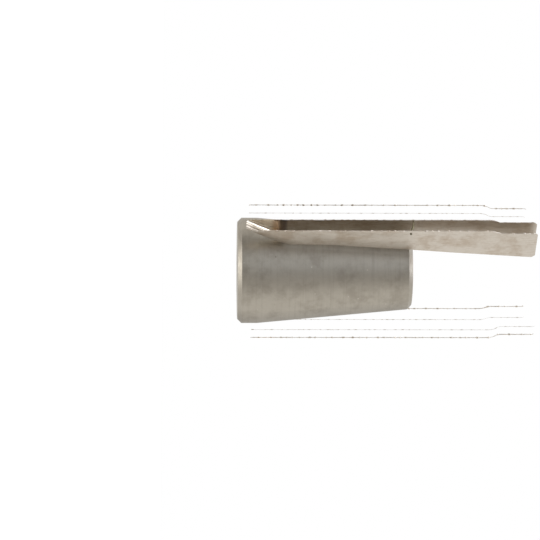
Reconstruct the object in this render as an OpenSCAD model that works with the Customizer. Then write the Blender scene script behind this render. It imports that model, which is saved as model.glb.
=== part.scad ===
// Drop-in anchor: an internally threaded sleeve with a slotted end and a driven plug inside.
// It stands on its mouth, with the slotted end up. Lengths are in millimetres.

/* [Body] */
// Outside diameter of the sleeve, which enters a drilled hole 0.3 larger
body_d = 11.7; // [10.6:0.1:14]
// Length of the sleeve from its mouth to its slotted end
body_len = 40; // [37:0.5:50]
// Corner radius round the outside of the mouth
mouth_round = 0.2; // [0.1:0.05:0.4]

/* [Collar] */
// Depth that the collar at the slotted end is turned down, all round
collar_step = 0.3; // [0.15:0.05:0.6]
// Length of the collar
collar_len = 2.75; // [1.5:0.05:5]
// Length of the rounded shoulder that leads down to the collar
shoulder_len = 0.9; // [0.8:0.05:2]
// Radius of the hollow corner where the shoulder runs into the collar
corner_round = 0.25; // [0.1:0.05:0.4]
// Corner radius round the outside of the slotted end
nose_round = 0.3; // [0.1:0.05:0.6]

/* [Threaded bore] */
// Diameter that the thread is tapped in, its minor diameter
thread_bore_d = 8.5; // [8.3:0.05:9]
// Depth of the tapped bore from the mouth
thread_depth = 16.5; // [13:0.5:17]
// Width of the countersink at the mouth, measured along its face's radius
sink_w = 0.85; // [0.4:0.05:1]

/* [Plug bore] */
// Diameter of the bore that guides the plug
guide_bore_d = 8.1; // [7.8:0.05:8.15]
// Distance from the mouth to the start of the taper
taper_start = 24; // [22:0.5:26]
// Diameter of the bore where the taper ends, at the slotted end
nose_bore_d = 5; // [4.8:0.1:6]
// Width of the bevel round the bore at the slotted end
nose_bevel = 0.25; // [0.1:0.05:0.4]

/* [Slots] */
// Number of slots round the expanding end
slot_count = 4; // [2:1:6]
// Width of a slot, the thickness of the saw
slot_w = 0.95; // [0.6:0.05:1.4]
// Length of a slot where it shows on the outside
slot_len = 21.8; // [18:0.2:22]
// Depth of a slot below the outside of the sleeve
slot_depth = 3.65; // [3.4:0.05:4]
// Diameter of the saw, which leaves its curve where a slot runs out
saw_d = 34; // [24:1:40]

/* [Plug] */
// Length of the plug
plug_len = 13.2; // [10:0.2:14]
// Length of the straight land at the plug's thick end
plug_land = 1.5; // [1:0.1:3]
// Diameter of the plug's thin end
plug_nose_d = 5.9; // [5:0.1:6.4]
// Bevel round both ends of the plug
plug_bevel = 0.3; // [0.1:0.05:0.5]
// Gap all round between the plug's land and its bore
plug_gap = 0.05; // [0.02:0.01:0.1]
// Distance from the end of the tapped bore to the plug
plug_setback = 1.1; // [0.5:0.1:2]

/* [Hidden] */
steel = [0.69, 0.66, 0.60];
// How far a cutting shape runs past the faces that it cuts
overrun = 1;
// Straight pieces that stand for a quarter turn of a small round
round_steps = 6;
// Straight pieces that stand for the shoulder's curve
shoulder_steps = 8;
// Straight pieces that stand for the hollow corner
corner_steps = 4;
$fn = 128;

body_r = body_d / 2;
collar_r = body_r - collar_step;
thread_bore_r = thread_bore_d / 2;
guide_bore_r = guide_bore_d / 2;
nose_bore_r = nose_bore_d / 2;
saw_r = saw_d / 2;

// The shoulder is a convex arc that leaves the body smoothly, then a hollow arc that ends along the collar.
// The two radii add up to what the shoulder's length and step ask for.
collar_start = body_len - collar_len;
shoulder_start = collar_start - shoulder_len;
shoulder_r = (shoulder_len * shoulder_len + collar_step * collar_step) / (2 * collar_step) - corner_round;
shoulder_turn = 2 * atan(collar_step / shoulder_len);

// Half the length of the chord that the saw's rim makes with the outside of the sleeve
saw_half_chord = sqrt(saw_r * saw_r - (saw_r - slot_depth) * (saw_r - slot_depth));
saw_stop = body_len - slot_len + saw_half_chord;

plug_start = thread_depth + plug_setback;
plug_r = guide_bore_r - plug_gap;
plug_nose_r = plug_nose_d / 2;

// Points of an arc about a centre, from one angle to another
function arc(centre, radius, from, to, steps) =
    [for (i = [0 : steps])
        let (a = from + (to - from) * i / steps)
        centre + radius * [cos(a), sin(a)]];

// Half section of the sleeve, as [radius, height], up the outside and down the bore
function sleeve_section() = concat(
    arc([body_r - mouth_round, mouth_round], mouth_round, -90, 0, round_steps),
    arc([body_r - shoulder_r, shoulder_start], shoulder_r, 0, shoulder_turn, shoulder_steps),
    arc([collar_r + corner_round, collar_start], corner_round,
        180 + shoulder_turn * (1 - 1 / corner_steps), 180, corner_steps - 1),
    arc([collar_r - nose_round, body_len - nose_round], nose_round, 0, 90, round_steps),
    [
        [nose_bore_r + nose_bevel, body_len],
        [nose_bore_r, body_len - nose_bevel],
        [guide_bore_r, taper_start],
        [guide_bore_r, thread_depth + thread_bore_r - guide_bore_r],
        [thread_bore_r, thread_depth],
        [thread_bore_r, sink_w],
        [thread_bore_r + sink_w, 0]
    ]);

// Half section of the plug, as [radius, height], from the centre of its thick end
function plug_section() = [
    [0, 0],
    [plug_r - plug_bevel, 0],
    [plug_r, plug_bevel],
    [plug_r, plug_land],
    [plug_nose_r, plug_len - plug_bevel],
    [plug_nose_r - plug_bevel, plug_len],
    [0, plug_len]
];

// Path of the saw that cuts one slot, towards +X: its round end, then straight out past the slotted end
module slot_cut() {
    floor_x = body_r - slot_depth;
    rotate([90, 0, 0])
        linear_extrude(height = slot_w, center = true)
            union() {
                translate([floor_x + saw_r, saw_stop])
                    circle(r = saw_r);
                translate([floor_x, saw_stop])
                    square([slot_depth + overrun, body_len - saw_stop + overrun]);
            }
}

module sleeve() {
    color(steel)
        difference() {
            rotate_extrude()
                polygon(sleeve_section());
            for (i = [0 : slot_count - 1])
                rotate([0, 0, 360 * i / slot_count])
                    slot_cut();
        }
}

module expander_plug() {
    color(steel)
        translate([0, 0, plug_start])
            rotate_extrude()
                polygon(plug_section());
}

sleeve();
expander_plug();
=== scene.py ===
"""Looks of a drop-in anchor: a slotted stainless sleeve, tapped at its mouth, round a tapered plug.

The sleeve stands on its mouth, and +Z points to its slotted end. The camera is rolled a quarter turn,
so that the sleeve lies across the picture. Sizes in the classes are in millimetres, and meshes in metres.
"""
import logging
import math
import random
from collections.abc import Iterator
from dataclasses import dataclass
from enum import Enum

import bpy
from mathutils import Matrix, Vector


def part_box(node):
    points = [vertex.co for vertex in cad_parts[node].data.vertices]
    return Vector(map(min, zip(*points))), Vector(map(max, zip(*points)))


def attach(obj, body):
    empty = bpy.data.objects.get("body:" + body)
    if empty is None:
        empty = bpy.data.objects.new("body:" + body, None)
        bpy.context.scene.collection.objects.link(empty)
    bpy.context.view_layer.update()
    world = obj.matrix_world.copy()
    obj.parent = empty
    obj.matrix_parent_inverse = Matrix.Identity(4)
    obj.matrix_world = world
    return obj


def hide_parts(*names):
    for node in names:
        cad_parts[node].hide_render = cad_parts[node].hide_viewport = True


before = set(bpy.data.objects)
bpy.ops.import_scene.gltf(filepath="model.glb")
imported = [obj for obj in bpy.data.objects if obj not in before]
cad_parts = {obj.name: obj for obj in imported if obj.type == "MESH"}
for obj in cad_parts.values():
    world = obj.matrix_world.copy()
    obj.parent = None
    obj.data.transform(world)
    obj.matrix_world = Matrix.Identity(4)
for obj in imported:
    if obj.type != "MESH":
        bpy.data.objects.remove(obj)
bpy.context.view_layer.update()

MM = 0.001
WELD = 0.0005 * MM

log = logging.getLogger("anchor")


def linear(hex_colour: str) -> tuple[float, float, float, float]:
    """Turns an sRGB hex colour to a linear colour with full alpha.

    Args:
        hex_colour: Colour such as "#b1a595".

    Returns:
        Red, green, blue and alpha, as shader sockets take them.
    """
    channels = (int(hex_colour[i:i + 2], 16) / 255 for i in (1, 3, 5))
    red, green, blue = (c / 12.92 if c <= 0.04045 else ((c + 0.055) / 1.055) ** 2.4 for c in channels)
    return red, green, blue, 1.0


def add_node(tree: bpy.types.NodeTree, kind: str, settings: dict | None = None,
             inputs: dict | None = None) -> bpy.types.Node:
    """Adds a node with its settings and links.

    Args:
        tree: Node tree that takes the node.
        kind: Blender's name for the type of node, without "ShaderNode".
        settings: Values of the node's own properties, by name.
        inputs: Values or output sockets for its inputs, by name or number.

    Returns:
        The new node.
    """
    node = tree.nodes.new("ShaderNode" + kind)
    for name, value in (settings or {}).items():
        setattr(node, name, value)
    for name, value in (inputs or {}).items():
        if isinstance(value, bpy.types.NodeSocket):
            tree.links.new(value, node.inputs[name])
        else:
            node.inputs[name].default_value = value
    return node


def product(tree: bpy.types.NodeTree, *factors) -> bpy.types.NodeSocket:
    """Adds nodes that multiply numbers or sockets, and gives the result's socket."""
    result = factors[0]
    for factor in factors[1:]:
        result = add_node(tree, "Math", {"operation": "MULTIPLY"}, {0: result, 1: factor}).outputs[0]
    return result


def fade(tree: bpy.types.NodeTree, value: bpy.types.NodeSocket, start: float, end: float,
         low: float = 0.0, high: float = 1.0) -> bpy.types.NodeSocket:
    """Adds a node that goes smoothly from low to high while a value goes from start to end."""
    return add_node(tree, "MapRange", {"interpolation_type": "SMOOTHSTEP"}, {
        "Value": value, 1: start, 2: end, 3: low, 4: high}).outputs[0]


def blend(tree: bpy.types.NodeTree, share, below, above) -> bpy.types.NodeSocket:
    """Adds a node that blends two colours by a share, and gives the result's socket."""
    return add_node(tree, "Mix", {"data_type": "RGBA"}, {0: share, 6: below, 7: above}).outputs[2]


def select_only(piece: bpy.types.Object) -> None:
    """Deselects everything, then selects one object and makes it active."""
    bpy.ops.object.select_all(action="DESELECT")
    piece.select_set(True)
    bpy.context.view_layer.objects.active = piece


def first_point(name: str, place: Vector) -> bpy.types.Object:
    """Starts a piece as one selected point, in edit mode.

    Args:
        name: Name of the piece.
        place: Where the point is, in millimetres.

    Returns:
        The new object, which sits at the origin.
    """
    bpy.ops.object.select_all(action="DESELECT")
    bpy.ops.mesh.primitive_plane_add(size=MM, location=place * MM)
    piece = bpy.context.object
    piece.name = name
    bpy.ops.object.transform_apply(location=True, rotation=True, scale=True)
    bpy.ops.object.mode_set(mode="EDIT")
    bpy.ops.mesh.merge(type="CENTER")
    return piece


def extrude_by(step: Vector) -> None:
    """Extrudes what is selected by a step in millimetres."""
    bpy.ops.mesh.extrude_region_move(TRANSFORM_OT_translate={"value": tuple(step * MM)})


def draw_path(name: str, points: list[Vector]) -> bpy.types.Object:
    """Draws an open path of edges, and leaves it selected in edit mode.

    Args:
        name: Name of the piece.
        points: The path, in millimetres.

    Returns:
        The new object.
    """
    piece = first_point(name, points[0])
    for here, there in zip(points, points[1:]):
        extrude_by(there - here)
    bpy.ops.mesh.select_all(action="SELECT")
    return piece


def draw_loop(name: str, points: list[Vector]) -> bpy.types.Object:
    """Draws a closed outline of edges, and leaves it selected in edit mode."""
    piece = draw_path(name, [*points, points[0]])
    bpy.ops.mesh.remove_doubles(threshold=WELD)
    return piece


def finish_solid() -> None:
    """Welds and closes the mesh in edit mode, points its faces outwards and leaves edit mode."""
    bpy.ops.mesh.select_all(action="SELECT")
    bpy.ops.mesh.remove_doubles(threshold=WELD)
    bpy.ops.mesh.fill_holes(sides=0)
    bpy.ops.mesh.normals_make_consistent(inside=False)
    bpy.ops.object.mode_set(mode="OBJECT")


def arc(centre: tuple[float, float], radius: float, start: float, end: float,
        steps: int) -> list[tuple[float, float]]:
    """Gives points of an arc in a half section.

    Args:
        centre: Radius and height of the arc's centre.
        radius: The arc's own radius.
        start: First angle in degrees, from the direction away from the axis.
        end: Last angle in degrees.
        steps: Number of straight pieces.

    Returns:
        Pairs of radius and height.
    """
    angles = (math.radians(start + (end - start) * i / steps) for i in range(steps + 1))
    return [(centre[0] + radius * math.cos(a), centre[1] + radius * math.sin(a)) for a in angles]


def turned(name: str, section: list[tuple[float, float]], segments: int) -> bpy.types.Object:
    """Turns a closed half section about +Z, as on a lathe.

    Args:
        name: Name of the piece.
        section: Pairs of radius and height, round the outline of the wall.
        segments: Number of straight pieces round the axis.

    Returns:
        The turned solid.
    """
    piece = draw_loop(name, [Vector((radius, 0, height)) for radius, height in section])
    bpy.ops.mesh.spin(steps=segments, angle=2 * math.pi, center=(0, 0, 0), axis=(0, 0, 1))
    finish_solid()
    return piece


def apply_modifier(piece: bpy.types.Object, kind: str, settings: dict) -> None:
    """Adds a modifier to a piece with its settings, and applies it."""
    select_only(piece)
    modifier = piece.modifiers.new(kind.lower(), kind)
    for name, value in settings.items():
        setattr(modifier, name, value)
    bpy.ops.object.modifier_apply(modifier=modifier.name)


def cut(piece: bpy.types.Object, tool: bpy.types.Object, operation: str = "DIFFERENCE") -> None:
    """Cuts a piece with a solid tool, whose finish is left on the cut, and removes the tool.

    Args:
        piece: Solid that is cut.
        tool: Solid that cuts it.
        operation: Blender's name for the boolean operation.
    """
    apply_modifier(piece, "BOOLEAN", {
        "operation": operation, "solver": "EXACT", "object": tool, "material_mode": "TRANSFER"})
    bpy.data.objects.remove(tool)


def thicken(path: bpy.types.Object, radius: float, shares: Iterator[float]) -> None:
    """Turns a path of edges to closed round strands.

    Args:
        path: Piece that holds only edges.
        radius: Radius of a strand in millimetres.
        shares: Share of that radius at each point in turn.
    """
    select_only(path)
    bpy.ops.object.convert(target="CURVE")
    path.data.bevel_depth = radius * MM
    path.data.bevel_resolution = 1
    path.data.use_fill_caps = True
    for spline in path.data.splines:
        for point in spline.points:
            point.radius = next(shares)
    bpy.ops.object.convert(target="MESH")
    bpy.ops.object.mode_set(mode="EDIT")
    finish_solid()


class Lay(Enum):
    """Direction of the marks that a tool leaves, as the stretch of their pattern along X, Y and Z."""

    DRAWN = (1.0, 1.0, 0.05)
    TURNED = (0.03, 0.03, 1.0)
    SAWN = (1.0, 1.0, 0.12)


@dataclass(frozen=True)
class Mark:
    """A straight scratch, nick or stain on the outside of the sleeve, or on the sides of a slot; some marks instead
    paint light, and others shade.

    A place is a turn about +Z from +X in degrees, and a height. A bright scratch is rougher than the
    metal round it, so it catches light from all round, and a dark one has kept dirt, apart from the dark
    marks that paint shade.
    """

    start: tuple[float, float]
    end: tuple[float, float]
    width: float
    colour: str
    share: float
    roughness: float = 0.5
    patchy: bool = False

    def mask(self, tree: bpy.types.NodeTree, point: bpy.types.NodeSocket, patches: bpy.types.NodeSocket,
             radius: float) -> bpy.types.NodeSocket:
        """Adds nodes that give the share of the mark's colour at a place.

        Args:
            tree: Node tree of the material.
            point: Socket that gives the place on the surface, in millimetres.
            patches: Socket of a noise that breaks up a patchy mark.
            radius: Radius of the surface that is marked.

        Returns:
            Output socket of the mask.
        """
        ends = [Vector((radius * math.cos(math.radians(turn)), radius * math.sin(math.radians(turn)), height))
                for turn, height in (self.start, self.end)]
        middle = (ends[0] + ends[1]) / 2
        along = (ends[1] - ends[0]).normalized()
        outward = Vector((middle.x, middle.y, 0)).normalized()
        half = (ends[1] - ends[0]).length / 2
        offset = add_node(tree, "VectorMath", {"operation": "SUBTRACT"}, {0: point, 1: middle}).outputs[0]
        fades = []
        for axis, start, end in ((along.cross(outward).normalized(), 0.1 * self.width, 0.6 * self.width),
                                 (along, 0.5 * half, half + 0.3 * self.width)):
            dot = add_node(tree, "VectorMath", {"operation": "DOT_PRODUCT"}, {0: offset, 1: axis})
            distance = add_node(tree, "Math", {"operation": "ABSOLUTE"}, {0: dot.outputs["Value"]})
            fades.append(fade(tree, distance.outputs[0], start, end, 1.0, 0.0))
        outside = add_node(tree, "VectorMath", {"operation": "DOT_PRODUCT"}, {0: point, 1: outward})
        facing = add_node(tree, "Math", {"operation": "GREATER_THAN"}, {
            0: outside.outputs["Value"], 1: 0.5 * radius}).outputs[0]
        mask = product(tree, *fades, facing, self.share)
        return product(tree, mask, fade(tree, patches, 0.32, 0.52)) if self.patchy else mask


@dataclass(frozen=True)
class SteelFinish:
    """A metal surface: its colour, and the marks, pits and tarnish that its making left.
    Its pale specks are partly painted glints, and some of its marks are painted light and shade.

    Lengths are in millimetres. The pitch is the distance between tool marks, and a gap the distance
    between specks. Turned rings spread a shine along +Z by a share, and the slope of their steeper flank
    turns it that way.
    """

    name: str
    clean: str
    tarnish: str
    roughness: float
    dull_roughness: float
    lay: Lay
    lay_pitch: float
    lay_depth: float
    lay_share: float
    pit_size: float
    pit_depth: float
    tarnish_size: float
    tarnish_share: float
    speck_gap: float = 1.1
    speck_r: float = 0.07
    speck_share: float = 0.5
    ring_spread: float = 0.0
    ring_flank: float = 0.0
    marks: tuple[Mark, ...] = ()
    marked_r: float = 1.0

    def material(self) -> bpy.types.Material:
        """Builds the finish as a material on Object coordinates.

        Returns:
            The new material, or the one that was built before under this name.
        """
        if self.name in bpy.data.materials:
            return bpy.data.materials[self.name]
        made = bpy.data.materials.new(self.name)
        made.use_nodes = True
        tree = made.node_tree
        shader = tree.nodes["Principled BSDF"]
        shader.inputs["Metallic"].default_value = 1.0
        coordinates = add_node(tree, "TexCoord").outputs["Object"]
        point = add_node(tree, "Mapping", {}, {"Vector": coordinates, "Scale": (1 / MM,) * 3}).outputs[0]

        stretched = add_node(tree, "Mapping", {}, {"Vector": point, "Scale": self.lay.value}).outputs[0]
        lines = add_node(tree, "TexNoise", {}, {
            "Vector": stretched, "Scale": 1 / self.lay_pitch, "Detail": 3.0, "Roughness": 0.6}).outputs[0]
        rolled = add_node(tree, "Mapping", {}, {"Vector": point, "Scale": (0.45, 0.45, 1.0)}).outputs[0]
        pits = add_node(tree, "TexNoise", {}, {
            "Vector": rolled, "Scale": 1 / self.pit_size, "Detail": 3.0, "Roughness": 0.55}).outputs[0]
        patches = add_node(tree, "TexNoise", {}, {
            "Vector": point, "Scale": 1 / self.tarnish_size, "Detail": 5.0, "Roughness": 0.65}).outputs[0]
        cells = add_node(tree, "TexVoronoi", {}, {"Vector": point, "Scale": 1 / self.speck_gap})

        share = fade(tree, patches, 0.42, 0.68, 0.0, self.tarnish_share)
        colour = blend(tree, share, linear(self.clean), linear(self.tarnish))
        dark_lines = fade(tree, lines, 0.5, 0.72, 0.0, self.lay_share)
        colour = blend(tree, dark_lines, colour, linear(self.tarnish))
        roughness = add_node(tree, "MapRange", {}, {
            "Value": pits, 1: 0.3, 2: 0.75, 3: self.roughness, 4: self.dull_roughness}).outputs[0]

        # Specks: the pale ones are rougher, so they catch light from all round, and their paler colour is a painted
        # glint as well; the dark ones are dirt.
        picked = add_node(tree, "SeparateColor", {}, {0: cells.outputs["Color"]}).outputs[0]
        speck = fade(tree, cells.outputs["Distance"], 0.4 * self.speck_r / self.speck_gap,
                     self.speck_r / self.speck_gap, self.speck_share, 0.0)
        bright = product(tree, speck, fade(tree, picked, 0.5, 0.55))
        dirty = product(tree, speck, fade(tree, picked, 0.3, 0.25))
        colour = blend(tree, bright, colour, linear("#e6dfd2"))
        colour = blend(tree, dirty, colour, linear("#4f453b"))
        roughness = add_node(tree, "Mix", {"data_type": "FLOAT"}, {0: bright, 2: roughness, 3: 0.7}).outputs[0]

        for mark in self.marks:
            mask = mark.mask(tree, point, patches, self.marked_r)
            colour = blend(tree, mask, colour, linear(mark.colour))
            roughness = add_node(tree, "Mix", {"data_type": "FLOAT"}, {
                0: mask, 2: roughness, 3: mark.roughness}).outputs[0]

        depth = product(tree, lines, self.lay_depth)
        height = add_node(tree, "Math", {"operation": "MULTIPLY_ADD"}, {
            0: pits, 1: self.pit_depth, 2: depth}).outputs[0]
        if self.ring_flank:
            along = add_node(tree, "SeparateXYZ", {}, {0: point}).outputs["Z"]
            height = add_node(tree, "Math", {"operation": "MULTIPLY_ADD"}, {
                0: along, 1: -self.ring_flank, 2: height}).outputs[0]
        if self.ring_spread:
            shader.inputs["Anisotropic"].default_value = self.ring_spread
            tangent = add_node(tree, "VectorTransform", {
                "vector_type": "VECTOR", "convert_from": "OBJECT", "convert_to": "WORLD"}, {0: (0.0, 0.0, 1.0)})
            tree.links.new(tangent.outputs[0], shader.inputs["Tangent"])
        bump = add_node(tree, "Bump", {}, {"Height": height, "Strength": 1.0, "Distance": MM})
        tree.links.new(colour, shader.inputs["Base Color"])
        tree.links.new(roughness, shader.inputs["Roughness"])
        tree.links.new(bump.outputs[0], shader.inputs["Normal"])
        return made


BRIGHT = "#ece6dc"
# Dirt, and also painted shade beside a slot's run-out and deep in a slot.
DIRT_AND_SHADE = "#5a4f45"
RUST = "#a07a62"
# Painted half-shade: a browner tone where a lit run-out passes into the dark slot.
PAINTED_HALF_SHADE = "#ceb494"
# Painted light: a cream colour on a slot's wall beside its run-out.
PAINTED_WALL_LIGHT = "#f2ecdc"
# Painted shade: a darker colour on a run-out's floor that holds back the lamp's highlight there.
PAINTED_RUNOUT_SHADE = "#aca292"
# Painted light: the pale floor of a slot's run-out, where light falls in from outside.
PAINTED_RUNOUT_LIGHT = "#fbf0de"

# Austenitic stainless steel bar, cold drawn and tumbled: a warm satin grey with faint lines along it
# and fine pits that break a highlight into grains.
TUMBLED_BAR = SteelFinish(
    name="tumbled_stainless_bar", clean="#b4a798", tarnish="#a09282", roughness=0.07, dull_roughness=0.42,
    lay=Lay.DRAWN, lay_pitch=0.13, lay_depth=0.0012, lay_share=0.35, pit_size=0.12, pit_depth=0.0145,
    tarnish_size=1.8, tarnish_share=0.5, marked_r=5.85,
    marks=(
        Mark((-80.5, 30.52), (-45.0, 29.65), 0.1, BRIGHT, 0.35),
        Mark((-72.5, 6.68), (-58.5, 6.33), 0.13, BRIGHT, 0.35),
        Mark((-80.0, 22.6), (-60.0, 22.16), 0.1, BRIGHT, 0.2),
        Mark((-82.8, 30.53), (-80.5, 30.75), 0.09, BRIGHT, 0.7),
        Mark((-80.6, 30.72), (-81.5, 31.15), 0.09, BRIGHT, 0.7),
        Mark((-81.0, 30.7), (-80.1, 30.78), 0.16, BRIGHT, 1.0),
        Mark((-60.4, 27.45), (-60.1, 28.4), 0.08, BRIGHT, 0.3),
        Mark((-61.5, 2.99), (-51.0, 2.86), 0.32, DIRT_AND_SHADE, 0.85, 0.3),
        Mark((-63.6, 3.38), (-56.0, 3.6), 0.1, DIRT_AND_SHADE, 0.4, 0.3),
        Mark((-57.0, 28.9), (-55.0, 29.5), 0.5, DIRT_AND_SHADE, 0.25, 0.3),
        # Painted shadow on the outside, along the edge of the slot towards -Y beside its run-out.
        Mark((-82.4, 18.4), (-82.4, 20.2), 0.3, DIRT_AND_SHADE, 0.3, 0.3),
        Mark((-25.8, 27.85), (-25.8, 29.35), 0.13, DIRT_AND_SHADE, 0.6, 0.3),
        Mark((-25.8, 31.1), (-25.8, 31.62), 0.16, DIRT_AND_SHADE, 0.6, 0.3),
        Mark((-48.0, 18.0), (-48.0, 38.4), 1.0, RUST, 0.25, 0.25, True),
        Mark((-47.5, 0.0), (-47.5, 7.5), 0.9, RUST, 0.35, 0.25, True),
        Mark((-49.0, 7.0), (-49.0, 18.0), 1.1, DIRT_AND_SHADE, 0.14, 0.25, True),
    ))

# The same steel turned after tumbling: the tool's fine rings spread a shine along the sleeve.
TURNED_COLLAR = SteelFinish(
    name="turned_stainless", clean="#c1b7a6", tarnish="#afa392", roughness=0.17, dull_roughness=0.37,
    lay=Lay.TURNED, lay_pitch=0.1, lay_depth=0.02, lay_share=0.4, pit_size=0.14, pit_depth=0.012,
    tarnish_size=1.2, tarnish_share=0.4, ring_spread=1.0, marked_r=5.55,
    marks=(
        Mark((-88.0, 39.42), (-61.8, 38.7), 0.2, BRIGHT, 1.0, 0.4),
        Mark((-78.7, 39.6), (-61.0, 39.0), 0.1, DIRT_AND_SHADE, 0.5, 0.3),
        Mark((-62.0, 39.1), (-38.0, 38.5), 0.08, BRIGHT, 0.3, 0.4),
    ))

# The rounded shoulder, burnished by the tool's flank, shines white where it faces a lamp.
TURNED_SHOULDER = SteelFinish(
    name="burnished_stainless", clean="#bcb1a2", tarnish="#a89b8a", roughness=0.17, dull_roughness=0.26,
    lay=Lay.TURNED, lay_pitch=0.1, lay_depth=0.003, lay_share=0.3, pit_size=0.15, pit_depth=0.002,
    tarnish_size=1.2, tarnish_share=0.3, speck_share=0.0)

# Where the tool dwelt in the corner: rings with one flank steeper, which widen the shoulder's shine.
TURNED_CORNER = SteelFinish(
    name="ringed_stainless", clean="#bcb1a2", tarnish="#a89b8a", roughness=0.2, dull_roughness=0.3,
    lay=Lay.TURNED, lay_pitch=0.1, lay_depth=0.01, lay_share=0.3, pit_size=0.15, pit_depth=0.002,
    tarnish_size=1.2, tarnish_share=0.3, speck_share=0.0, ring_flank=0.37)

# The slotted end, which is faced, has its edge broken, and is dull.
FACED_END = SteelFinish(
    name="faced_stainless", clean="#b3a898", tarnish="#a29787", roughness=0.5, dull_roughness=0.6,
    lay=Lay.TURNED, lay_pitch=0.15, lay_depth=0.003, lay_share=0.4, pit_size=0.15, pit_depth=0.004,
    tarnish_size=1.0, tarnish_share=0.5)

# Sawn faces of the slots: streaks along the cut, browned in patches by the heat and oil of sawing.
# Its marks paint light, half-shade and shade into the run-outs, where each slot passes from lit to dark.
SAWN_SLOT = SteelFinish(
    name="sawn_stainless", clean="#d6cdc0", tarnish="#ab967d", roughness=0.34, dull_roughness=0.5,
    lay=Lay.SAWN, lay_pitch=0.1, lay_depth=0.004, lay_share=0.4, pit_size=0.12, pit_depth=0.004,
    tarnish_size=1.5, tarnish_share=0.5, speck_share=0.0, marked_r=5.85,
    marks=(
        # Painted shade on the floor of the run-out of the slot towards -Y, darker than the sawn face so that the
        # lamp's highlight there is held back.
        Mark((-90.0, 17.2), (-90.0, 21.0), 0.9, PAINTED_RUNOUT_SHADE, 0.9, 0.38),
        # Painted light on the wall of the slot towards -Y, beside its run-out.
        Mark((-96.0, 18.0), (-96.0, 20.8), 0.6, PAINTED_WALL_LIGHT, 1.0, 0.18),
        # Painted half-shade on the wall of the slot towards -Y, past its run-out.
        Mark((-94.66, 20.2), (-94.66, 20.9), 0.7, PAINTED_HALF_SHADE, 0.8, 0.25),
        # Painted shade on the wall of the slot towards -Y, deeper in past its run-out.
        Mark((-94.66, 20.7), (-94.66, 21.2), 0.6, DIRT_AND_SHADE, 0.8, 0.4),
        # Painted light on the floor of the run-out of the slot towards +X.
        Mark((0.0, 17.2), (0.0, 20.0), 0.9, PAINTED_RUNOUT_LIGHT, 0.9, 0.45),
        # Painted half-shade on the wall of the slot towards +X, past its run-out.
        Mark((4.66, 18.9), (4.66, 20.5), 0.7, PAINTED_HALF_SHADE, 0.9, 0.25),
    ))

# A strand of the saw's burr that hangs in a slot, dull with oil.
OILED_STRAND = SteelFinish(
    name="oiled_stainless_strand", clean="#6f6952", tarnish="#5c5644", roughness=0.45, dull_roughness=0.6,
    lay=Lay.SAWN, lay_pitch=0.1, lay_depth=0.002, lay_share=0.3, pit_size=0.12, pit_depth=0.002,
    tarnish_size=0.5, tarnish_share=0.4, speck_share=0.0)

# Tapped and bored inside: cutting oil and shallow tool marks leave it duller than the outside.
TAPPED_BORE = SteelFinish(
    name="tapped_stainless", clean="#aaa093", tarnish="#7f7161", roughness=0.22, dull_roughness=0.36,
    lay=Lay.TURNED, lay_pitch=0.15, lay_depth=0.006, lay_share=0.4, pit_size=0.15, pit_depth=0.005,
    tarnish_size=2.0, tarnish_share=0.6, speck_share=0.0)

# Plug of turned steel, tumbled like the sleeve: greyer, with fine rings.
TURNED_PLUG = SteelFinish(
    name="turned_plug_steel", clean="#b3ac9f", tarnish="#968e81", roughness=0.38, dull_roughness=0.5,
    lay=Lay.TURNED, lay_pitch=0.16, lay_depth=0.006, lay_share=0.3, pit_size=0.14, pit_depth=0.006,
    tarnish_size=1.6, tarnish_share=0.6)


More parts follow.
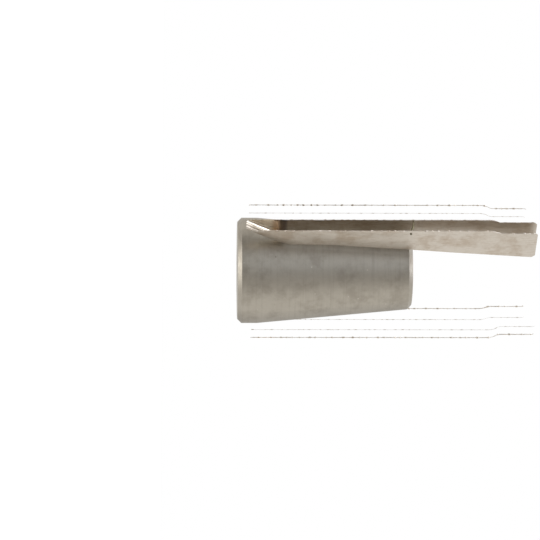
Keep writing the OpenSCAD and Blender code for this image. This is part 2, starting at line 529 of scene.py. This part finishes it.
@dataclass
class SawCut:
    """One slot, as the slitting saw leaves it: straight from the slotted end, then out through the wall.

    The saw's teeth are worn round at their corners, and each leaves its own ridge.
    """

    body_r: float
    body_len: float
    width: float = 0.95
    length: float = 21.8
    depth: float = 3.65
    saw_r: float = 17.0
    overrun: float = 1.2
    corner_r: float = 0.2
    corner_steps: int = 4
    rim_steps: int = 8
    side_steps: int = 14
    feed: float = 0.16
    ridge: float = 0.02
    chatter: float = 0.004
    sweep: float = 52.0

    def floor(self) -> float:
        """Distance from the axis to the bottom of the slot."""
        return self.body_r - self.depth

    def stop(self) -> float:
        """Height of the saw's centre where the saw stops."""
        chord = math.sqrt(self.saw_r ** 2 - (self.saw_r - self.depth) ** 2)
        return self.body_len - self.length + chord

    def outline(self, height: float, seed: int) -> list[Vector]:
        """Gives the saw's section at its deepest.

        Args:
            height: Height at which the outline lies.
            seed: Seed of the ridges.

        Returns:
            Points in order, from the outside along one side, over the rim and back.
        """
        draw = random.Random(seed)
        corner, half = self.floor() + self.corner_r, self.width / 2
        top = self.body_r + self.overrun
        sides = [top + (corner - top) * i / self.side_steps for i in range(self.side_steps)]
        left = [(x, draw.uniform(-self.ridge, self.ridge) - half) for x in sides]
        left += arc((corner, self.corner_r - half), self.corner_r, 270, 180, self.corner_steps)
        inner = half - self.corner_r
        across = [(self.floor() + draw.uniform(-self.ridge, self.ridge), inner * (2 * i / self.rim_steps - 1))
                  for i in range(1, self.rim_steps)]
        right = [(x, -y) for x, y in reversed(left)]
        return [Vector((x, y, height)) for x, y in (*left, *across, *right)]

    def tool(self, turn: float, seed: int) -> bpy.types.Object:
        """Builds the solid that one pass of the saw takes away.

        Args:
            turn: Turn of the slot about +Z, in radians.
            seed: Seed of the roughness of this cut.

        Returns:
            The cutting solid, which carries the sawn finish.
        """
        top = self.body_len + self.overrun
        steps = round((top - self.stop()) / self.feed)
        piece = draw_loop("saw_cut", self.outline(top, seed))
        for _ in range(steps):
            extrude_by(Vector((0, 0, (self.stop() - top) / steps)))
        centre = Vector((self.floor() + self.saw_r, 0, self.stop())) * MM
        arc_steps = round(math.radians(self.sweep) * self.saw_r / self.feed)
        bpy.ops.mesh.spin(steps=arc_steps, angle=math.radians(self.sweep), center=centre, axis=(0, 1, 0))
        finish_solid()
        bpy.ops.object.mode_set(mode="EDIT")
        bpy.ops.mesh.select_all(action="SELECT")
        bpy.ops.transform.vertex_random(offset=self.chatter * MM, uniform=0.0, normal=1.0, seed=seed)
        bpy.ops.object.mode_set(mode="OBJECT")
        piece.data.transform(Matrix.Rotation(turn, 4, "Z"))
        piece.data.materials.append(SAWN_SLOT.material())
        return piece


@dataclass
class Thread:
    """An internal metric thread, cut as the tap cuts it, with a lead where its teeth fade out."""

    minor_r: float
    depth: float
    major_r: float = 5.0
    pitch: float = 1.5
    root_flat: float = 0.1875
    flank: float = 30.0
    lead: float = 2.2
    into_air: float = 0.25
    steps: int = 96

    def tool(self) -> bpy.types.Object:
        """Builds the coil that the tap takes away, as deep as the tap goes.

        Returns:
            The cutting solid, which carries the tapped finish.
        """
        inner = self.minor_r - self.into_air
        half = self.root_flat / 2
        spread = half + (self.major_r - inner) * math.tan(math.radians(self.flank))
        start = -2 * self.pitch
        coil = draw_loop("tap_coil", [
            Vector((inner, 0, start - spread)), Vector((self.major_r, 0, start - half)),
            Vector((self.major_r, 0, start + half)), Vector((inner, 0, start + spread))])
        bpy.ops.object.mode_set(mode="OBJECT")
        turns = math.ceil(self.depth / self.pitch) + 3
        apply_modifier(coil, "SCREW", {
            "axis": "Z", "angle": 2 * math.pi, "screw_offset": self.pitch * MM, "iterations": turns,
            "steps": self.steps, "render_steps": self.steps, "use_merge_vertices": False})
        bpy.ops.object.mode_set(mode="EDIT")
        finish_solid()
        body = turned("tap_body", [
            (inner - 1, -self.pitch), (self.major_r + 1, -self.pitch),
            (self.major_r + 1, self.depth - self.lead), (self.minor_r, self.depth), (inner - 1, self.depth),
        ], self.steps)
        cut(coil, body, "INTERSECT")
        coil.data.materials.clear()
        coil.data.materials.append(TAPPED_BORE.material())
        return coil


@dataclass
class Sleeve:
    """The sleeve: one turned piece, tapped from its mouth and slotted from its other end."""

    body_r: float
    body_len: float
    mouth_round: float = 0.2
    collar_step: float = 0.3
    collar_len: float = 2.75
    shoulder_len: float = 0.9
    corner_round: float = 0.25
    dwell_before: float = 0.08
    dwell_len: float = 0.2
    nose_round: float = 0.3
    thread_bore_r: float = 4.25
    thread_depth: float = 16.5
    sink_w: float = 0.85
    guide_bore_r: float = 4.05
    taper_start: float = 24.0
    nose_bore_r: float = 2.5
    nose_bevel: float = 0.25
    slot_count: int = 4
    segments: int = 256
    smooth_angle: float = 28.0

    def outside(self) -> list[tuple[float, float]]:
        """Gives the outline of the outside, from the mouth up to the slotted end."""
        collar_r = self.body_r - self.collar_step
        collar = self.body_len - self.collar_len
        shoulder = collar - self.shoulder_len
        turn = 2 * math.degrees(math.atan(self.collar_step / self.shoulder_len))
        both_r = (self.shoulder_len ** 2 + self.collar_step ** 2) / (2 * self.collar_step)
        shoulder_r = both_r - self.corner_round
        return [
            *arc((self.body_r - self.mouth_round, self.mouth_round), self.mouth_round, -90, 0, 6),
            *arc((self.body_r - shoulder_r, shoulder), shoulder_r, 0, turn, 12),
            *arc((collar_r + self.corner_round, collar), self.corner_round, 180 + 0.8 * turn, 180, 4),
            (collar_r, collar + self.dwell_len),
            *arc((collar_r - self.nose_round, self.body_len - self.nose_round), self.nose_round, 0, 90, 6),
        ]

    def outside_r(self, height: float) -> float:
        """Gives the radius of the outside at a height."""
        outline = self.outside()
        for (r0, z0), (r1, z1) in zip(outline, outline[1:]):
            if z0 <= height <= z1:
                return r0 + (r1 - r0) * (height - z0) / (z1 - z0)
        raise ValueError(f"no outside at {height}")

    def section(self) -> list[tuple[float, float]]:
        """Gives the half section, up the outside and down the bore."""
        step = self.thread_bore_r - self.guide_bore_r
        return [
            *self.outside(),
            (self.nose_bore_r + self.nose_bevel, self.body_len),
            (self.nose_bore_r, self.body_len - self.nose_bevel),
            (self.guide_bore_r, self.taper_start),
            (self.guide_bore_r, self.thread_depth + step),
            (self.thread_bore_r, self.thread_depth),
            (self.thread_bore_r, self.sink_w),
            (self.thread_bore_r + self.sink_w, 0),
        ]

    def paint(self, piece: bpy.types.Object) -> None:
        """Gives the turned blank its finishes by place: bar outside, turned ends, bored inside."""
        collar = self.body_len - self.collar_len
        bands = (
            (self.mouth_round, TURNED_SHOULDER),
            (collar - self.shoulder_len, TUMBLED_BAR),
            (collar - self.dwell_before, TURNED_SHOULDER),
            (collar + self.dwell_len, TURNED_CORNER),
            (self.body_len - self.nose_round, TURNED_COLLAR),
            (self.body_len + self.mouth_round, FACED_END),
        )
        finishes = list(dict.fromkeys([*(finish for _, finish in bands), TAPPED_BORE]))
        for finish in finishes:
            piece.data.materials.append(finish.material())
        for face in piece.data.polygons:
            centre = face.center / MM
            radius = math.hypot(centre.x, centre.y)
            inward = face.normal.x * centre.x + face.normal.y * centre.y < -0.1 * radius
            outer = next(finish for top, finish in bands if centre.z < top)
            face.material_index = finishes.index(TAPPED_BORE if inward else outer)

    def saw(self) -> SawCut:
        """Gives the saw that cuts the slots."""
        return SawCut(self.body_r, self.body_len)

    def build(self) -> bpy.types.Object:
        """Turns, taps and slots the sleeve.

        Returns:
            The finished piece.
        """
        piece = turned("slotted_sleeve", self.section(), self.segments)
        self.paint(piece)
        cut(piece, Thread(self.thread_bore_r, self.thread_depth).tool())
        for i in range(self.slot_count):
            cut(piece, self.saw().tool(2 * math.pi * i / self.slot_count, seed=11 + i))
        select_only(piece)
        bpy.ops.object.mode_set(mode="EDIT")
        bpy.ops.mesh.select_all(action="SELECT")
        bpy.ops.mesh.remove_doubles(threshold=WELD)
        bpy.ops.object.mode_set(mode="OBJECT")
        bpy.ops.object.shade_smooth_by_angle(angle=math.radians(self.smooth_angle))
        return piece


@dataclass
class SlotBurr:
    """The burr that the saw raises along both edges of each slot, and one sliver left across a slot."""

    sleeve: Sleeve
    step: float = 0.09
    bead_r: float = 0.05
    inset: float = 0.045
    sunk: float = 0.02
    jitter: float = 0.009
    tip_gap: float = 0.35
    nose_gap: float = 0.12
    light_share: float = 0.4
    sliver_r: float = 0.11

    def lumps(self, seed: int) -> Iterator[float]:
        """Gives the bead's thickness from point to point: thin, with short lumps at random.

        Args:
            seed: Seed of the lumps.

        Yields:
            Shares of the bead's radius.
        """
        draw = random.Random(seed)
        while True:
            yield from [draw.uniform(0.35, 0.6)] * draw.randint(3, 9)
            yield from [draw.uniform(1.0, 1.45)] * draw.randint(1, 2)

    def lips(self, side: int, share: float) -> bpy.types.Object:
        """Builds the beads along one edge of every slot.

        Args:
            side: 1 for the edge that the saw's teeth leave by, or -1 for the one they enter by.
            share: Share of the full thickness.

        Returns:
            The beads as one piece.
        """
        half = side * (self.sleeve.saw().width / 2 + self.inset)
        bottom = self.sleeve.body_len - self.sleeve.saw().length + self.tip_gap
        top = self.sleeve.body_len - self.nose_gap
        count = round((top - bottom) / self.step)
        points = []
        for i in range(count + 1):
            height = bottom + (top - bottom) * i / count
            radius = self.sleeve.outside_r(height) - self.sunk
            points.append(Vector((math.sqrt(radius ** 2 - half ** 2), half, height)))
        piece = draw_path("slot_burr", points)
        for _ in range(self.sleeve.slot_count - 1):
            bpy.ops.mesh.duplicate()
            bpy.ops.transform.rotate(value=2 * math.pi / self.sleeve.slot_count, orient_axis="Z",
                                     center_override=(0, 0, 0))
        bpy.ops.object.mode_set(mode="OBJECT")
        thicken(piece, share * self.bead_r, self.lumps(seed=6 + side))
        bpy.ops.object.mode_set(mode="EDIT")
        bpy.ops.mesh.select_all(action="SELECT")
        bpy.ops.transform.vertex_random(offset=share * self.jitter * MM, uniform=1.0, normal=0.0, seed=7)
        bpy.ops.object.mode_set(mode="OBJECT")
        piece.data.materials.append(SAWN_SLOT.material())
        return piece

    def sliver(self) -> bpy.types.Object:
        """Builds the thin curl of metal that hangs across the slot towards -Y."""
        points = [Vector(p) for p in (
            (-0.5, -5.6, 30.72), (-0.25, -5.52, 30.69), (0.0, -5.46, 30.63), (0.25, -5.42, 30.55), (0.5, -5.4, 30.46))]
        piece = draw_path("slot_sliver", points)
        bpy.ops.mesh.subdivide(number_cuts=2)
        bpy.ops.object.mode_set(mode="OBJECT")
        thicken(piece, self.sliver_r, iter([0.5 + 0.05 * i for i in range(3 * len(points))]))
        return piece

    def build(self) -> bpy.types.Object:
        """Builds the burr as one piece.

        Returns:
            The finished piece.
        """
        heavy, light, sliver = self.lips(1, 1.0), self.lips(-1, self.light_share), self.sliver()
        sliver.data.materials.append(OILED_STRAND.material())
        select_only(heavy)
        light.select_set(True)
        sliver.select_set(True)
        bpy.ops.object.join()
        return heavy


@dataclass
class Studio:
    """The stage, the light and the camera, set round the sleeve.

    The view's angles are in degrees, and the focal length is in pixels of the square photograph.
    """

    middle: float
    turn: float = 35.45
    distance: float = 244.98
    tilt: float = 1.57
    roll: float = -0.1
    focal: float = 3222.8
    side: float = 540.0
    sensor: float = 36.0
    shift_along: float = 0.0893
    shift_up: float = 0.03
    floor_side: float = 3000.0
    glows: tuple[tuple[float, float, float, float], ...] = (
        (20.0, 32.0, 60.0, 0.16), (13.0, 4.0, 25.0, 0.26), (-11.0, 4.0, 14.0, 0.06))
    edge_lean: float = 9.0

    def towards(self) -> Vector:
        """Direction from the axis to the camera, level with the floor."""
        a = math.radians(self.turn)
        return Vector((math.sin(a), -math.cos(a), 0))

    def upward(self) -> Vector:
        """Direction that is up in the picture, level with the floor."""
        a = math.radians(self.turn)
        return Vector((-math.cos(a), -math.sin(a), 0))

    def camera(self) -> None:
        """Sets the camera at the photograph's viewpoint, rolled so that +Z points to the right."""
        tilt, roll = math.radians(self.tilt), math.radians(self.roll)
        towards, up, axis = self.towards(), self.upward(), Vector((0, 0, 1))
        back = math.cos(tilt) * towards - math.sin(tilt) * axis
        right = math.cos(tilt) * axis + math.sin(tilt) * towards
        place = Vector((0, 0, self.middle)) + self.distance * back
        place += self.shift_along * right + self.shift_up * up
        rolled_right = math.cos(roll) * right - math.sin(roll) * up
        rolled_up = math.sin(roll) * right + math.cos(roll) * up
        data = bpy.data.cameras.new("camera")
        data.sensor_width = self.sensor
        data.lens = self.focal * self.sensor / self.side
        data.clip_start, data.clip_end = 10 * MM, 10000 * MM
        camera = bpy.data.objects.new("camera", data)
        bpy.context.collection.objects.link(camera)
        turned_axes = Matrix((rolled_right, rolled_up, back)).transposed().to_4x4()
        camera.matrix_world = Matrix.Translation(place * MM) @ turned_axes
        bpy.context.scene.camera = camera

    def world(self) -> None:
        """Builds the surroundings that the metal reflects, as bands by their direction round +Z.

        White surrounds the sleeve, apart from a dim stretch on the camera's side, where a glow grows
        towards both of the sleeve's ends. The bands lean together overhead, so that a shoulder mirrors
        the same ones as the straight wall beside it. To the camera the background is plain white.
        """
        world = bpy.data.worlds.new("studio")
        bpy.context.scene.world = world
        world.use_nodes = True
        tree = world.node_tree
        direction = add_node(tree, "TexCoord").outputs["Generated"]
        sides = [add_node(tree, "VectorMath", {"operation": "DOT_PRODUCT"}, {0: direction, 1: axis})
                 for axis in (self.upward(), self.towards())]
        ahead = add_node(tree, "Math", {"operation": "ADD"}, {0: sides[1].outputs["Value"], 1: 1.0})
        half = add_node(tree, "Math", {"operation": "ARCTAN2"}, {
            0: sides[0].outputs["Value"], 1: ahead.outputs[0]}).outputs[0]
        angle = product(tree, half, 2.0)
        height = add_node(tree, "SeparateXYZ", {}, {0: direction}).outputs["Z"]
        rise = add_node(tree, "MapRange", {}, {"Value": height, 1: -0.06, 2: 0.09}).outputs[0]
        lean = product(tree, rise, fade(tree, angle, math.radians(55), math.radians(78)),
                       math.radians(self.edge_lean))
        leaned = add_node(tree, "Math", {"operation": "ADD"}, {0: angle, 1: lean}).outputs[0]
        share = add_node(tree, "MapRange", {}, {
            "Value": leaned, 1: -math.pi, 2: math.pi, 3: 0.0, 4: 1.0}).outputs[0]
        bands = add_node(tree, "ValToRGB", {}, {"Fac": share})
        ramp = bands.color_ramp
        levels = [
            (-180, 0.6, 0.0), (-142, 0.62, 0.0), (-133, 0.7, 0.0), (-126, 0.79, 0.0), (-115, 0.88, 0.0),
            (-95, 0.97, 0.0), (-80, 1.0, 0.0), (-65, 0.98, 0.0), (-52, 0.89, -0.1), (-45, 0.74, -0.2),
            (-39, 0.59, -0.3), (-32, 0.48, -0.4), (-26, 0.39, -0.5), (-20, 0.38, -0.8), (-12, 0.27, -0.9),
            (-6, 0.17, -0.5), (0, 0.2, 0.5), (6, 0.34, 0.9), (12, 0.49, 1.1), (19, 0.52, 1.2),
            (24, 0.57, 1.0), (31, 0.48, 0.5), (38, 0.42, 0.2), (50, 0.38, -0.4), (72, 0.34, -0.4),
            (78.9, 0.265, -0.5), (84.9, 0.27, -0.4), (86.9, 0.4, -0.2), (88.9, 0.7, -0.1), (92, 0.86, -0.2),
            (101, 0.99, -0.3), (180, 0.68, -0.2),
        ]
        while len(ramp.elements) > 1:
            ramp.elements.remove(ramp.elements[-1])
        for i, (degrees, level, cool) in enumerate(levels):
            place = (degrees + 180) / 360
            stop = ramp.elements[0] if i == 0 else ramp.elements.new(place)
            stop.position = place
            stop.color = (level * (1 - 0.06 * cool), level, level * (1 + 0.08 * cool), 1)

        glow = 0.0
        for turn, inner, outer, level in self.glows:
            aside = add_node(tree, "Math", {"operation": "SUBTRACT"}, {0: angle, 1: math.radians(turn)})
            aside = add_node(tree, "Math", {"operation": "ABSOLUTE"}, {0: aside.outputs[0]}).outputs[0]
            share = fade(tree, aside, math.radians(outer), math.radians(inner))
            glow = add_node(tree, "Math", {"operation": "MULTIPLY_ADD"}, {0: share, 1: level, 2: glow}).outputs[0]
        rise = add_node(tree, "Math", {"operation": "POWER"}, {0: rise, 1: 1.3}).outputs[0]
        low = add_node(tree, "MapRange", {}, {"Value": height, 1: -0.3, 2: -0.6, 4: 6.0}).outputs[0]
        rise = add_node(tree, "Math", {"operation": "MAXIMUM"}, {0: rise, 1: low}).outputs[0]
        glow = product(tree, glow, rise, fade(tree, height, 0.13, 0.33, 1.0, 0.0))
        behind = add_node(tree, "Math", {"operation": "ABSOLUTE"}, {0: angle}).outputs[0]
        behind = fade(tree, behind, math.radians(75), math.radians(95))
        overhead = product(tree, behind, fade(tree, height, 0.35, 0.65))
        sky = blend(tree, overhead, bands.outputs[0], (1.1, 1.1, 1.1, 1.0))
        halo = product(tree, fade(tree, height, 0.55, 0.9), fade(tree, angle, math.radians(-35), math.radians(5)),
                       fade(tree, angle, math.radians(55), math.radians(72), 1.0, 0.0), 0.55)
        glow = add_node(tree, "Math", {"operation": "ADD"}, {0: glow, 1: halo}).outputs[0]
        lit = add_node(tree, "VectorMath", {"operation": "ADD"}, {0: sky, 1: glow}).outputs[0]
        seen = add_node(tree, "LightPath").outputs["Is Camera Ray"]
        tree.links.new(blend(tree, seen, lit, (1.0, 1.0, 1.0, 1.0)), tree.nodes["Background"].inputs["Color"])

    def softbox(self) -> None:
        """Hangs a soft lamp level beyond the slotted end, mostly on the camera's side."""
        above, radiance = 400.0, 2.6
        near, far, low, high = (above * share for share in (1.235, -0.22, -0.06, 1.07))
        place = (near + far) / 2 * self.towards() + (low + high) / 2 * self.upward()
        place += Vector((0, 0, self.middle + above))
        data = bpy.data.lights.new("softbox", "AREA")
        data.shape = "RECTANGLE"
        data.color = (0.88, 0.93, 1.08)
        data.size, data.size_y = (near - far) * MM, (high - low) * MM
        data.energy = radiance * math.pi * data.size * data.size_y
        lamp = bpy.data.objects.new("softbox", data)
        bpy.context.collection.objects.link(lamp)
        axes = Matrix((self.towards(), -self.upward(), Vector((0, 0, 1)))).transposed().to_4x4()
        lamp.matrix_world = Matrix.Translation(place * MM) @ axes

    def floor(self) -> None:
        """Lays a pale floor, which shows white and keeps the sleeve's shadow.

        The metal reflects the surroundings in its place, so that the bands run its whole length.
        """
        bpy.ops.object.select_all(action="DESELECT")
        bpy.ops.mesh.primitive_plane_add(size=self.floor_side * MM)
        floor = bpy.context.object
        floor.name = "floor"
        floor.visible_glossy = False
        made = bpy.data.materials.new("pale_paper")
        made.use_nodes = True
        tree = made.node_tree
        tree.nodes.remove(tree.nodes["Principled BSDF"])
        paper = add_node(tree, "BsdfDiffuse", {}, {"Color": (0.8, 0.8, 0.8, 1.0)})
        seen = add_node(tree, "LightPath").outputs["Is Camera Ray"]
        glow = add_node(tree, "Emission", {}, {"Strength": product(tree, seen, 0.5)})
        both = add_node(tree, "AddShader", {}, {0: paper.outputs[0], 1: glow.outputs[0]})
        tree.links.new(both.outputs[0], tree.nodes["Material Output"].inputs["Surface"])
        floor.data.materials.append(made)


def report(piece: bpy.types.Object) -> None:
    """Logs a piece's name and its number of faces."""
    log.info("%s: %d faces", piece.name, len(piece.data.polygons))


def main() -> None:
    """Builds the sleeve and its burr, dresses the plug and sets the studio."""
    logging.basicConfig(level=logging.INFO, format="%(name)s: %(message)s")
    bpy.context.scene.view_settings.view_transform = "Standard"
    low, high = (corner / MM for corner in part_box("sleeve"))

    design = Sleeve(body_r=high.x, body_len=high.z)
    sleeve = design.build()
    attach(sleeve, "root")
    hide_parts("sleeve")
    report(sleeve)

    burr = SlotBurr(design).build()
    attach(burr, "root")
    report(burr)

    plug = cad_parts["expander_plug"]
    plug.data.materials.clear()
    plug.data.materials.append(TURNED_PLUG.material())
    report(plug)

    studio = Studio(middle=(low.z + high.z) / 2)
    studio.world()
    studio.softbox()
    studio.floor()
    studio.camera()


if __name__ == "__main__":
    main()
